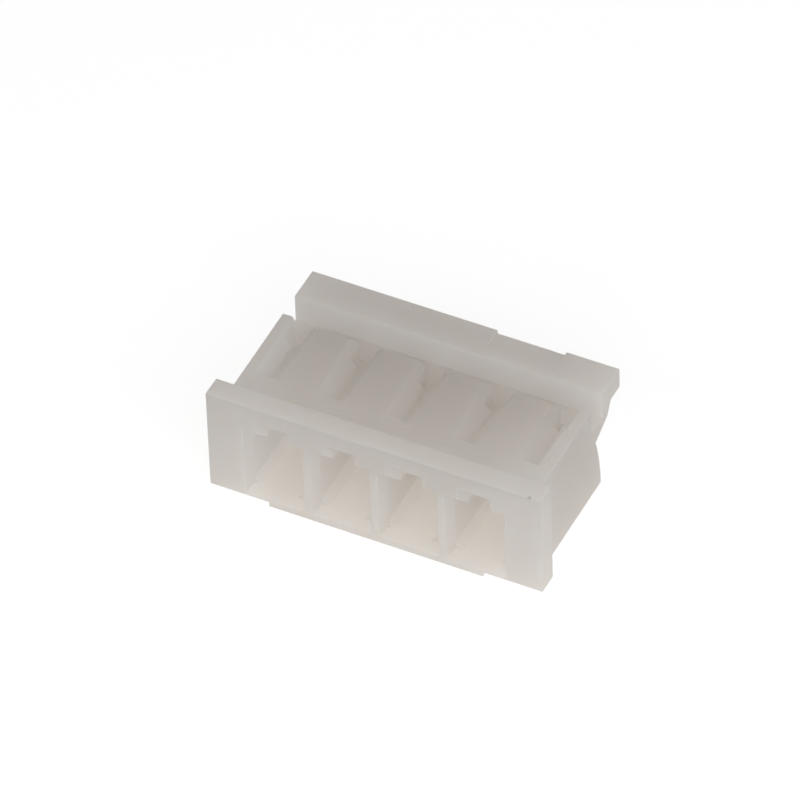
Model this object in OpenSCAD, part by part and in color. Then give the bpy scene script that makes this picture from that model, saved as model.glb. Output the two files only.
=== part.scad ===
// Crimp housing of a low-profile wire to board connector, one row of circuits.
// Moulded in one piece: wire flange, cavities, roof fingers, lance window and mating end.
// X runs along the row, Y from the wire face to the mating face, Z up.
// Origin: centre of the footprint, on the plane of the underside pad.

/* [Row] */
// Number of circuits
circuits = 4; // [2:1:10]
// Spacing of the circuits
pitch = 2.5; // [2.4:0.05:3.2]

/* [Body] */
// Height of the body at the wire end, above its underside
body_h = 3.8; // [3.7:0.02:4.4]
// Rise of the roof from the wire end to the window
roof_rise = 0.08; // [0:0.01:0.12]
// Wall between an outer cavity and the side of the body
end_wall = 1.04; // [0.95:0.01:1.5]
// Height of the pad along the underside
pad_h = 0.18; // [0.1:0.01:0.3]
// Distance from the side of the body to the pad
pad_inset = 1.74; // [1:0.02:2.2]

/* [Wire flange] */
// Thickness of the flange
flange_t = 0.81; // [0.6:0.01:1.2]
// Rise of the flange above the body
flange_rise = 0.42; // [0.2:0.01:0.8]
// Overhang of the flange past each side of the body
flange_over = 0.46; // [0.2:0.01:0.8]

/* [Cavities] */
// Width of a cavity
cavity_w = 1.9; // [1.7:0.02:2.1]
// Height of a cavity, without its lance channel
cavity_h = 2.36; // [2.2:0.02:2.46]
// Floor under the cavities
floor_t = 0.29; // [0.25:0.01:0.35]
// Chamfer along the lower corners of a cavity
cavity_corner = 0.3; // [0.1:0.01:0.45]
// Width of the lance channel along the top of a cavity
channel_w = 0.84; // [0.7:0.01:1.0]
// Height of the lance channel above the cavity
channel_h = 0.47; // [0.3:0.01:0.5]
// Depth of the funnel at a wire entry
lead_l = 0.41; // [0.2:0.01:0.6]
// Sideways spread of the funnel
lead_side = 0.16; // [0.05:0.01:0.18]
// Upward spread of the funnel
lead_up = 0.45; // [0.2:0.01:0.5]
// Downward spread of the funnel
lead_down = 0.16; // [0.05:0.01:0.2]

/* [Roof] */
// Plain strip of roof behind the flange
strip_l = 1.12; // [0.8:0.01:1.6]
// Length of the grooves behind the strip
groove_l = 2.12; // [1.6:0.01:2.8]
// Width of a groove at the strip
groove_w = 0.98; // [0.8:0.01:1.08]
// Depth of a groove at the strip
groove_d = 0.45; // [0.3:0.01:0.5]
// Width of the flat along the bottom of a groove
groove_flat = 0.08; // [0.04:0.01:0.12]
// Width of the top of a fingertip at its free end
tip_w = 1.21; // [1.1:0.01:1.3]
// Length of a free fingertip
tip_l = 0.75; // [0.5:0.01:0.9]
// Clearance on each side of a fingertip as it flexes into its cavity
tip_clear = 0.06; // [0.04:0.01:0.12]
// Chamfer on the free end of a fingertip
tip_chamfer = 0.14; // [0.05:0.01:0.2]
// Width of the rib along each side of the roof
rib_w = 0.44; // [0.36:0.01:0.55]
// Length of a rib past the fingertips
rib_past = 0.06; // [0:0.01:0.2]

/* [Lance window] */
// Length of the window, from the root of the fingertips to the lip
window_l = 1.67; // [1.4:0.01:2.2]
// Height of the window floor above the underside
window_z = 2.84; // [2.82:0.01:3.1]

/* [Mating end] */
// Length of the lip
lip_l = 1.37; // [1.2:0.01:1.8]
// Thickness of the lip
lip_t = 0.82; // [0.7:0.01:0.9]
// Rise of the lip above the body height
lip_rise = 0.12; // [0.02:0.01:0.3]
// Width of the relief beside the nose
relief_w = 0.99; // [0.8:0.01:1.0]
// Length of the relief at the underside
relief_l = 1.57; // [1.5:0.01:1.8]
// Set-back of the end wall at its chin
chin_set = 0.35; // [0.1:0.01:0.4]
// Height of the chin above the underside
chin_z = 2.16; // [1.9:0.01:2.2]
// Bulge of the end wall between the underside and the chin
wall_bulge = 0.09; // [0.04:0.01:0.15]
// Distance from the mating face to the foot of the brace under the lip
brace_foot = 0.98; // [0.9:0.01:1.2]
// Height of the foot of the brace
brace_z = 2.6; // [2.5:0.01:2.7]
// Distance from the mating face to the top of the brace
brace_top = 0.71; // [0.4:0.01:0.85]
// Width of a contact room in the nose
room_w = 1.3; // [1.1:0.01:1.5]
// Height of a contact room
room_h = 1.9; // [1.6:0.01:2.0]
// Wall between the contact rooms and the mating face
face_wall = 0.6; // [0.45:0.01:0.8]
// Width of a square pin entry
pin_w = 0.9; // [0.75:0.01:1.0]
// Height of the pin centres above the underside
pin_z = 1.45; // [1.35:0.01:1.5]
// Chamfer round a pin entry
pin_lead = 0.24; // [0.1:0.01:0.3]
// Width of the ramp in the top of the lip
ramp_w = 2.55; // [1.5:0.01:2.8]
// Length of the ramp
ramp_l = 1; // [0.5:0.01:1.1]
// Depth of the ramp at the mating face
ramp_d = 0.15; // [0.05:0.01:0.25]

/* [Hidden] */

// Overrun of a cut past the face that it opens, or of a joint into the body
over = 0.5;
// Faces on the curved edge of an end wall
bulge_steps = 8;

row_half = (circuits - 1) * pitch / 2;
body_w = 2 * row_half + cavity_w + 2 * end_wall;
nose_w = body_w - 2 * relief_w;
roof_l = flange_t + strip_l + groove_l;
tip_y = roof_l + tip_l;
rib_y = tip_y + rib_past;
window_y = roof_l + window_l;
body_l = window_y + lip_l;
lip_top = body_h + lip_rise;
lip_z = lip_top - lip_t;
cavity_z = floor_t + cavity_h;
channel_z = cavity_z + channel_h;
room_y = window_y - window_l / 2;

// Height of the roof at a distance y from the wire face
function roof_z(y) = body_h + roof_rise * y / rib_y;

// Points of an arc from a to b that bulges by h to the right of the way from a to b
function arc(a, b, h, steps) =
    let (chord = norm(b - a),
         radius = (chord * chord / 4 + h * h) / (2 * h),
         along = (b - a) / chord,
         out = [along[1], -along[0]],
         centre = (a + b) / 2 + out * (h - radius),
         half = asin(chord / 2 / radius))
    [for (i = [0:steps]) let (t = -half + 2 * half * i / steps)
        centre + radius * (sin(t) * along + cos(t) * out)];

// Extrudes a profile drawn in Y and Z along X, centred
module along_x(width) {
    rotate([90, 0, 90]) linear_extrude(width, center = true) children();
}

// Extrudes a profile drawn in X and Z along Y, from y0 to y1
module along_y(y0, y1) {
    translate([0, y1, 0]) rotate([90, 0, 0]) linear_extrude(y1 - y0) children();
}

// Mirrored outline through [half width, y] points
module plan(points) {
    polygon(concat(points, [for (i = [len(points) - 1:-1:0]) [-points[i][0], points[i][1]]]));
}

// Places a child at each circuit
module each_circuit() {
    for (i = [0:circuits - 1]) translate([i * pitch - row_half, 0, 0]) children();
}

// Side view of the body at its end walls: curved wall edge, chin, brace and lip
module side_profile() {
    wall_y = body_l - relief_l;
    polygon(concat(
        [[0, 0]],
        arc([wall_y, 0], [wall_y - chin_set, chin_z], wall_bulge, bulge_steps),
        [[body_l - brace_foot, brace_z], [body_l - brace_top, lip_z], [body_l, lip_z],
         [body_l, lip_top], [window_y, lip_top], [window_y, roof_z(window_y)], [0, body_h]]));
}

module flange() {
    translate([-body_w / 2 - flange_over, 0, 0])
        cube([body_w + 2 * flange_over, flange_t, body_h + flange_rise]);
}

module nose() {
    translate([-nose_w / 2, room_y, 0]) cube([nose_w, body_l - room_y, lip_z + lip_t / 2]);
}

module pad() {
    translate([-body_w / 2 + pad_inset, 0, -pad_h])
        cube([body_w - 2 * pad_inset, body_l, pad_h + floor_t / 2]);
}

// Funnel of one wire entry for an opening of width w between heights z0 and z1
module funnel(w, z0, z1, down) {
    spread = 1 + over / lead_l;
    intersection() {
        linear_extrude(body_h + over) plan([[w / 2 + lead_side * spread, -over], [w / 2, lead_l]]);
        along_x(2 * pitch)
            polygon([[-over, z0 - down * spread], [lead_l, z0], [lead_l, z1],
                     [-over, z1 + lead_up * spread]]);
    }
}

// Terminal cavity: wide room with chamfered lower corners, open upwards round the fingertip
module cavity() {
    corner_w = cavity_w / 2 - cavity_corner;
    along_y(0, room_y)
        polygon([[-corner_w, floor_t], [corner_w, floor_t],
                 [cavity_w / 2, floor_t + cavity_corner], [cavity_w / 2, cavity_z],
                 [-cavity_w / 2, cavity_z], [-cavity_w / 2, floor_t + cavity_corner]]);
    translate([-cavity_w / 2, roof_l, pin_z]) cube([cavity_w, room_y - roof_l, body_h]);
    funnel(cavity_w, floor_t, cavity_z, lead_down);
}

// Contact room in the nose and the chamfered square pin entry in the mating face
module contact_room() {
    face_y = body_l - face_wall;
    translate([-room_w / 2, room_y - over, pin_z - room_h / 2])
        cube([room_w, face_y - room_y + over, room_h]);
    reach = pin_w / 2 + pin_lead + over;
    intersection() {
        linear_extrude(body_h)
            plan([[pin_w / 2, face_y - over], [pin_w / 2, body_l - pin_lead], [reach, body_l + over]]);
        translate([0, 0, pin_z]) along_x(2 * pitch)
            polygon([[face_y - over, -pin_w / 2], [body_l - pin_lead, -pin_w / 2],
                     [body_l + over, -reach], [body_l + over, reach],
                     [body_l - pin_lead, pin_w / 2], [face_y - over, pin_w / 2]]);
    }
}

// Channel along the top of a cavity and the underside of its fingertip, for the terminal's lance
module lance_channel() {
    translate([-channel_w / 2, 0, pin_z]) cube([channel_w, room_y, channel_z - pin_z]);
    funnel(channel_w, pin_z, channel_z, 0);
}

// Groove over a partition and the slit beyond it, deeper and wider towards the window;
// side_a and side_b are its half widths at the strip
module groove(side_a, side_b) {
    front_y = flange_t + strip_l;
    run = tip_y - front_y;
    widening = (pitch - tip_w) / groove_w;
    sink = groove_d * (widening - 1) - roof_rise * run / rib_y;
    tall = 4;
    flat = groove_flat / 2;
    translate([0, front_y, roof_z(front_y)]) rotate([-atan(sink / run), 0, 0])
        along_y(0, (rib_y + window_y) / 2 - front_y)
            polygon([[-flat, -groove_d], [flat, -groove_d],
                     [flat + (side_b - flat) * tall, groove_d * (tall - 1)],
                     [-flat - (side_a - flat) * tall, groove_d * (tall - 1)]]);
}

module grooves() {
    rib_side = body_w / 2 - rib_w - circuits * pitch / 2;
    for (i = [1:circuits - 1]) translate([i * pitch - circuits * pitch / 2, 0, 0])
        groove(groove_w / 2, groove_w / 2);
    for (side = [0, 1]) mirror([side, 0, 0]) translate([circuits * pitch / 2, 0, 0])
        groove(groove_w / 2, rib_side);
}

// Window across the row: between the ribs beside the fingertips, then across the full width
module window() {
    tall = body_h;
    translate([-body_w / 2 + rib_w, roof_l, window_z]) cube([body_w - 2 * rib_w, window_l, tall]);
    translate([-body_w / 2 - over, rib_y, window_z])
        cube([body_w + 2 * over, window_y - rib_y, tall]);
}

// Free fingertip at the end of the roof, before the grooves slant its sides
module fingertip() {
    along_x(cavity_w - 2 * tip_clear)
        polygon([[roof_l - over, cavity_z], [tip_y, cavity_z],
                 [tip_y, roof_z(tip_y) - tip_chamfer], [tip_y - tip_chamfer, roof_z(tip_y)],
                 [roof_l - over, roof_z(roof_l - over)]]);
}

// Shallow ramp in the top of the lip, between the last two circuits
module lip_ramp() {
    fall = ramp_d / ramp_l;
    translate([row_half - pitch / 2, 0, 0]) along_x(ramp_w)
        polygon([[body_l - ramp_l, lip_top], [body_l + over, lip_top - fall * (ramp_l + over)],
                 [body_l + over, lip_top + over], [body_l - ramp_l, lip_top + over]]);
}

module housing() {
    color("ivory") translate([0, -body_l / 2, pad_h]) difference() {
        union() {
            difference() {
                union() {
                    along_x(body_w) side_profile();
                    flange();
                    nose();
                    pad();
                }
                each_circuit() cavity();
                each_circuit() contact_room();
                window();
                lip_ramp();
            }
            each_circuit() fingertip();
        }
        grooves();
        each_circuit() lance_channel();
    }
}

housing();
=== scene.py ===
"""Crimp housing of a wire to board connector: one moulding in natural, translucent nylon."""

import math

import bmesh
import bpy
from mathutils import Euler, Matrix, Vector

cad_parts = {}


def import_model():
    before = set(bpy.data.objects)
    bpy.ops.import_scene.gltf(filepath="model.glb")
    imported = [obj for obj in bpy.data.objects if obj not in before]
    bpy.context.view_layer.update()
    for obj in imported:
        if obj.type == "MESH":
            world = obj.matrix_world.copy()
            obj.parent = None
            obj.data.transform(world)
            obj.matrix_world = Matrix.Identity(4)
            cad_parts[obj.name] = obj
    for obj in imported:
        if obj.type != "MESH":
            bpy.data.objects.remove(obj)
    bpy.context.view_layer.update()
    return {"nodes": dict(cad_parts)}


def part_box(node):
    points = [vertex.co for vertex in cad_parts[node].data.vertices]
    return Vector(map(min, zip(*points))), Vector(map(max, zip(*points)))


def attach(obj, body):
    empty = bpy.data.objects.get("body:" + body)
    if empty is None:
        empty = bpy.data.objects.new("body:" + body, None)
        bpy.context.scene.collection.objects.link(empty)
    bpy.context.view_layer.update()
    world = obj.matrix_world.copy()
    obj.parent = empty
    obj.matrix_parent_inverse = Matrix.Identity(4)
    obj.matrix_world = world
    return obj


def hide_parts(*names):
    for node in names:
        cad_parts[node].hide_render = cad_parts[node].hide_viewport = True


MM = 0.001

# Camera: where it looks and how far off it is, in millimetres, from which side, through what
# lens, and the nearest and farthest it sees, in metres
AIM = (-0.87, 0.26, 2.88)
AZIMUTH, ELEVATION, ROLL = 27.57, 44.27, -2.12
DISTANCE = 335.0
LENS, SENSOR = 449.7, 36
NEAR, FAR = 0.01, 5

# Clean-up of the CAD mesh: vertices this close become one, and faces this flat join up
WELD_MM = 0.001
FLAT_ANGLE = 0.5
# Rounding: its radius in millimetres, its steps, and how sharp an edge has to be to get it
EDGE_ROUND = 0.035
EDGE_STEPS = 2
EDGE_ANGLE = 20

# Natural nylon: two shades that drift into each other, and how far light scatters under the skin
NYLON = (0.84, 0.82, 0.8)
NYLON_DEEP = (0.82, 0.795, 0.77)
SHADE_MM, SHADE_DETAIL, SHADE_RANGE = 2.6, 3, (0.3, 0.62)
SCATTER = (1.0, 0.85, 0.7)
SCATTER_MM = 0.5
# Light that passes right through a wall, and its share
GLOW = (0.97, 0.95, 0.925)
GLOW_SHARE = 0.7
# Surface: gloss, satin patches and the fine grain of the mould
IOR, SPECULAR = 1.5, 0.35
SATIN_MM, SATIN_DETAIL, ROUGHNESS = 0.7, 2, (0.42, 0.6)
GRAIN_MM, GRAIN_DETAIL, GRAIN_DEPTH_MM, GRAIN_STRENGTH = 0.12, 4, 0.012, 0.25

# A grain of dirt on the flange: its place as a share of the box, and its size in millimetres
DIRT_AT = (0.965, 0.008, 1.0)
DIRT_MM, DIRT_CORE = 0.09, 0.4
DIRT = (0.1, 0.07, 0.05)

# Light: the world, then each lamp's azimuth, elevation, size in metres and level
WORLD = 0.3
LAMPS = {
    "key": (40, 38, 0.12, 0.2),
    "front": (-12, 16, 0.25, 0.38),
    "side": (85, 10, 0.25, 0.28),
    "back": (175, 10, 0.25, 0.15),
}
LAMP_AWAY = 0.2

# Floor: a white sheet on a softly lit table, and the white that the camera sees
FLOOR_SIZE = 1.0
FLOOR_GAP_MM = 0.002
FLOOR_WHITE = 0.8
TABLE = 0.38
SEEN_WHITE = 0.5
SEEN_GLOW = 0.765


def rounded_copy(node):
    """The node's moulding with its flat faces joined up and its edges rounded."""
    mesh = node.data.copy()
    piece = bpy.data.objects.new("moulding", mesh)
    bpy.context.scene.collection.objects.link(piece)
    bm = bmesh.new()
    bm.from_mesh(mesh)
    bmesh.ops.remove_doubles(bm, verts=bm.verts, dist=WELD_MM * MM)
    bmesh.ops.dissolve_limit(bm, angle_limit=math.radians(FLAT_ANGLE), verts=bm.verts,
                             edges=bm.edges, use_dissolve_boundaries=False)
    bm.to_mesh(mesh)
    bm.free()
    bevel = piece.modifiers.new("edges", "BEVEL")
    bevel.width = EDGE_ROUND * MM
    bevel.segments = EDGE_STEPS
    bevel.limit_method = "ANGLE"
    bevel.angle_limit = math.radians(EDGE_ANGLE)
    bevel.harden_normals = True
    mesh.shade_smooth()
    return piece


def nylon(low, high):
    """Natural nylon on a part with this box: warm off-white, translucent, with a fine grain."""
    mat = bpy.data.materials.new("natural_nylon")
    mat.use_nodes = True
    tree = mat.node_tree
    shader = tree.nodes["Principled BSDF"]
    shader.inputs["Subsurface Weight"].default_value = 1.0
    shader.inputs["Subsurface Radius"].default_value = SCATTER
    shader.inputs["Subsurface Scale"].default_value = SCATTER_MM * MM
    shader.inputs["IOR"].default_value = IOR
    shader.inputs["Specular IOR Level"].default_value = SPECULAR
    place = tree.nodes.new("ShaderNodeNewGeometry")

    def noise(scale_mm, detail):
        node = tree.nodes.new("ShaderNodeTexNoise")
        node.inputs["Scale"].default_value = 1 / (scale_mm * MM)
        node.inputs["Detail"].default_value = detail
        tree.links.new(place.outputs["Position"], node.inputs["Vector"])
        return node.outputs["Fac"]

    shades = tree.nodes.new("ShaderNodeValToRGB")
    for stop, at, colour in zip(shades.color_ramp.elements, SHADE_RANGE, (NYLON_DEEP, NYLON)):
        stop.position = at
        stop.color = (*colour, 1)
    tree.links.new(noise(SHADE_MM, SHADE_DETAIL), shades.inputs["Fac"])

    dirt_place = Vector(low[i] + DIRT_AT[i] * (high[i] - low[i]) for i in range(3))
    reach = tree.nodes.new("ShaderNodeVectorMath")
    reach.operation = "DISTANCE"
    reach.inputs[1].default_value = dirt_place
    tree.links.new(place.outputs["Position"], reach.inputs[0])
    spot = tree.nodes.new("ShaderNodeMapRange")
    spot.inputs["From Min"].default_value = DIRT_CORE * DIRT_MM * MM
    spot.inputs["From Max"].default_value = DIRT_MM * MM
    spot.inputs["To Min"].default_value = 1
    spot.inputs["To Max"].default_value = 0
    tree.links.new(reach.outputs["Value"], spot.inputs["Value"])
    mix = tree.nodes.new("ShaderNodeMix")
    mix.data_type = "RGBA"
    tree.links.new(spot.outputs["Result"], mix.inputs["Factor"])
    tree.links.new(shades.outputs["Color"], mix.inputs["A"])
    mix.inputs["B"].default_value = (*DIRT, 1)
    tree.links.new(mix.outputs["Result"], shader.inputs["Base Color"])

    rough = tree.nodes.new("ShaderNodeMapRange")
    rough.inputs["To Min"].default_value = ROUGHNESS[0]
    rough.inputs["To Max"].default_value = ROUGHNESS[1]
    tree.links.new(noise(SATIN_MM, SATIN_DETAIL), rough.inputs["Value"])
    tree.links.new(rough.outputs["Result"], shader.inputs["Roughness"])

    bump = tree.nodes.new("ShaderNodeBump")
    bump.inputs["Strength"].default_value = GRAIN_STRENGTH
    bump.inputs["Distance"].default_value = GRAIN_DEPTH_MM * MM
    tree.links.new(noise(GRAIN_MM, GRAIN_DETAIL), bump.inputs["Height"])
    tree.links.new(bump.outputs["Normal"], shader.inputs["Normal"])

    through = tree.nodes.new("ShaderNodeBsdfTranslucent")
    through.inputs["Color"].default_value = (*GLOW, 1)
    both = tree.nodes.new("ShaderNodeMixShader")
    both.inputs["Fac"].default_value = GLOW_SHARE
    tree.links.new(shader.outputs["BSDF"], both.inputs[1])
    tree.links.new(through.outputs["BSDF"], both.inputs[2])
    tree.links.new(both.outputs["Shader"], tree.nodes["Material Output"].inputs["Surface"])
    return mat


def white_floor():
    """White sheet on a softly lit table; the camera sees it white, with the object's shadow."""
    mat = bpy.data.materials.new("white_floor")
    mat.use_nodes = True
    tree = mat.node_tree
    tree.nodes.clear()
    out = tree.nodes.new("ShaderNodeOutputMaterial")

    def lit_white(white, glow):
        matte = tree.nodes.new("ShaderNodeBsdfDiffuse")
        matte.inputs["Color"].default_value = (white, white, white, 1)
        light = tree.nodes.new("ShaderNodeEmission")
        light.inputs["Strength"].default_value = glow
        both = tree.nodes.new("ShaderNodeAddShader")
        tree.links.new(matte.outputs["BSDF"], both.inputs[0])
        tree.links.new(light.outputs["Emission"], both.inputs[1])
        return both.outputs["Shader"]

    mixed = camera_rays(tree, lit_white(FLOOR_WHITE, TABLE), lit_white(SEEN_WHITE, SEEN_GLOW))
    tree.links.new(mixed, out.inputs["Surface"])
    return mat


def camera_rays(tree, others, seen):
    """Shader that is `seen` where the camera looks, also through gloss, and `others` elsewhere."""
    path = tree.nodes.new("ShaderNodeLightPath")
    total = tree.nodes.new("ShaderNodeMath")
    total.operation = "MAXIMUM"
    tree.links.new(path.outputs["Is Camera Ray"], total.inputs[0])
    tree.links.new(path.outputs["Is Glossy Ray"], total.inputs[1])
    mix = tree.nodes.new("ShaderNodeMixShader")
    tree.links.new(total.outputs["Value"], mix.inputs["Fac"])
    tree.links.new(others, mix.inputs[1])
    tree.links.new(seen, mix.inputs[2])
    return mix.outputs["Shader"]


def floor(size):
    """Square floor just under the part's feet, outside the part."""
    mesh = bpy.data.meshes.new("floor")
    s = size / 2
    mesh.from_pydata([(-s, -s, 0), (s, -s, 0), (s, s, 0), (-s, s, 0)], [], [(0, 1, 2, 3)])
    piece = bpy.data.objects.new("floor", mesh)
    bpy.context.scene.collection.objects.link(piece)
    piece.location.z = -FLOOR_GAP_MM * MM
    mesh.materials.append(white_floor())


def world():
    """Even soft light, seen by the camera as plain white."""
    made = bpy.data.worlds.new("studio")
    bpy.context.scene.world = made
    made.use_nodes = True
    tree = made.node_tree
    tree.nodes.clear()
    out = tree.nodes.new("ShaderNodeOutputWorld")
    soft = tree.nodes.new("ShaderNodeBackground")
    soft.inputs["Strength"].default_value = WORLD
    white = tree.nodes.new("ShaderNodeBackground")
    white.inputs["Strength"].default_value = 1
    tree.links.new(camera_rays(tree, soft.outputs["Background"], white.outputs["Background"]),
                   out.inputs["Surface"])


def lamp(name, azimuth, elevation, size, level):
    """Square soft box; level is about the brightness that it gives a face turned to it."""
    data = bpy.data.lights.new(name, "AREA")
    data.size = size
    data.energy = level * math.pi * math.pi * LAMP_AWAY * LAMP_AWAY
    piece = bpy.data.objects.new(name, data)
    bpy.context.scene.collection.objects.link(piece)
    piece.location = direction(azimuth, elevation) * LAMP_AWAY
    piece.rotation_euler = piece.location.to_track_quat("Z", "Y").to_euler()


def direction(azimuth, elevation):
    """Unit vector towards a viewer at this azimuth and elevation, in degrees."""
    a, e = math.radians(azimuth), math.radians(elevation)
    return Vector((math.sin(a) * math.cos(e), -math.cos(a) * math.cos(e), math.sin(e)))


def camera():
    """The camera that the photo was taken with, as fitted to the part's straight edges."""
    data = bpy.data.cameras.new("camera")
    data.lens = LENS
    data.sensor_width = SENSOR
    data.clip_start, data.clip_end = NEAR, FAR
    piece = bpy.data.objects.new("camera", data)
    bpy.context.scene.collection.objects.link(piece)
    back = direction(AZIMUTH, ELEVATION)
    piece.location = (Vector(AIM) + back * DISTANCE) * MM
    turn = (-back).to_track_quat("-Z", "Y")
    piece.rotation_mode = "QUATERNION"
    piece.rotation_quaternion = turn @ Euler((0, 0, math.radians(ROLL))).to_quaternion()
    bpy.context.scene.camera = piece


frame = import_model()
bpy.context.scene.view_settings.view_transform = "Standard"

housing = frame["nodes"]["housing"]
moulding = rounded_copy(housing)
moulding.data.materials.clear()
moulding.data.materials.append(nylon(*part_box("housing")))
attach(moulding, "root")
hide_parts("housing")

floor(FLOOR_SIZE)
world()
for name, (azimuth, elevation, size, level) in LAMPS.items():
    lamp(name, azimuth, elevation, size, level)
camera()
